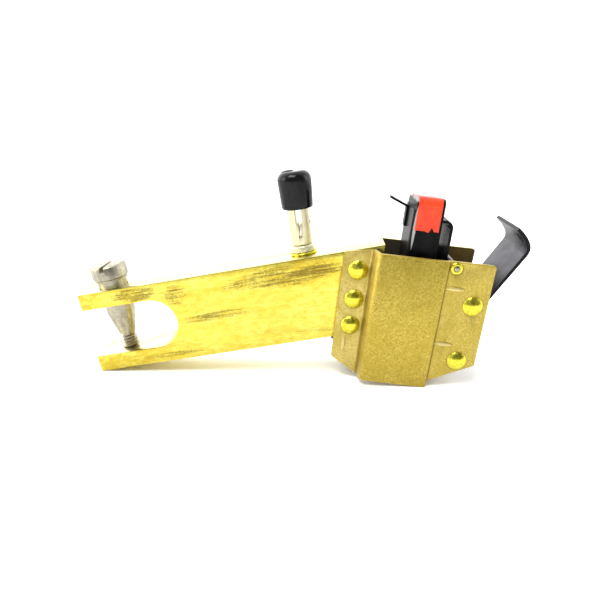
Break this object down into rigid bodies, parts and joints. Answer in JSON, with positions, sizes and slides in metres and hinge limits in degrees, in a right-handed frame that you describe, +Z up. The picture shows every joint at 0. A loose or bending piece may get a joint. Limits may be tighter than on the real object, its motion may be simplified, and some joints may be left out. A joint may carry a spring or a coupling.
{
  "type": "brush holder",
  "caption": "Carbon-brush holder: tilted forked brass arm with clamp screw, capped split terminal post, riveted two-sheet brush box, removable spring carrier and thumb latch lever.",
  "frame": {"origin": "centre of the bounding box's base, on the surface the holder stands on", "axes": "+X along the arm towards the brush box, +Y to the rear, +Z up; the arm rises 10.4 degrees and the box leans 5.9 degrees, as the holder stands"},
  "size_m": [0.1632, 0.0322, 0.0774],
  "materials": {
    "machined_brass": "machined bar, fine long scratches, dark oxide smears near the box and the fork",
    "sheet_brass": "dull tumbled sheet with a fine grain",
    "rivet_brass": "bright domed heads",
    "plain_steel": "turned, lightly oiled",
    "tin_plate": "pale plating over brass",
    "black_vinyl": "soft glossy push-on cap",
    "black_steel": "black oxide, satin",
    "red_tape": "orange-red adhesive film",
    "spring_steel": "bright rolled strip",
    "drum_plastic": "moulded",
    "blued_steel": "blue-grey hardened strip"
  },
  "bodies": {
    "frame": {"arm_bar": "machined_brass", "front_box_plate": "sheet_brass", "rear_box_plate": "sheet_brass", "guide_wall": "sheet_brass", "arm_rivets": "rivet_brass", "outer_rivets": "rivet_brass", "rivet_spacers": "plain_steel", "cross_pin": "plain_steel", "pin_eyelets": "rivet_brass", "terminal_post": "tin_plate", "post_washer": "rivet_brass", "post_collar": "tin_plate"},
    "cap": {"post_cap": "black_vinyl"},
    "screw_ring": {"captive_washer": "plain_steel"},
    "screw": {"clamp_screw": "plain_steel"},
    "carrier": {"carrier_shell": "black_steel", "warning_band": "red_tape", "pull_tab": "black_steel", "carrier_leg": "black_steel", "force_strip": "spring_steel", "strip_rivet": "plain_steel"},
    "saddle": {"brush_saddle": "sheet_brass", "coil_axle": "plain_steel"},
    "coil": {"coil_drum": "drum_plastic", "force_coil": "spring_steel"},
    "lever": {"latch_lever": "blued_steel", "lever_spring": "spring_steel"}
  },
  "joints": [
    {"name": "cap_pull", "type": "slide", "parent": "frame", "child": "cap", "axis": [-0.1219, 0, 0.9925], "range_m": [0, 0.03]},
    {"name": "screw_travel", "type": "slide", "parent": "frame", "child": "screw_ring", "axis": [-0.1805, 0, 0.9836], "range_m": [-0.0026, 0.0037]},
    {"name": "screw_turn", "type": "hinge", "parent": "screw_ring", "child": "screw", "pos_m": [-0.0682, 0, 0.02175], "axis": [-0.1805, 0, 0.9836], "range_deg": [-708, 992]},
    {"name": "carrier_lift", "type": "slide", "parent": "frame", "child": "carrier", "axis": [0.1028, 0, 0.9947], "range_m": [0, 0.04]},
    {"name": "saddle_rise", "type": "slide", "parent": "carrier", "child": "saddle", "axis": [0.1028, 0, 0.9947], "range_m": [0, 0.028], "stiffness_N_per_m": 6, "springref_m": -0.01},
    {"name": "coil_turn", "type": "hinge", "parent": "saddle", "child": "coil", "pos_m": [0.04345, 0, 0.0128], "axis": [0, 1, 0], "range_deg": [-1, 278]},
    {"name": "lever_tilt", "type": "hinge", "parent": "frame", "child": "lever", "pos_m": [0.06351, 0, 0.03184], "axis": [0, 1, 0], "range_deg": [0, 25], "stiffness_Nm_per_rad": 0.05, "springref_deg": -11.46}
  ],
  "couplings": [
    {"joint": "screw_travel", "follows": "screw_turn", "m_per_rad": 0.00020213},
    {"joint": "coil_turn", "follows": "saddle_rise", "rad_per_m": 170.94}
  ]
}
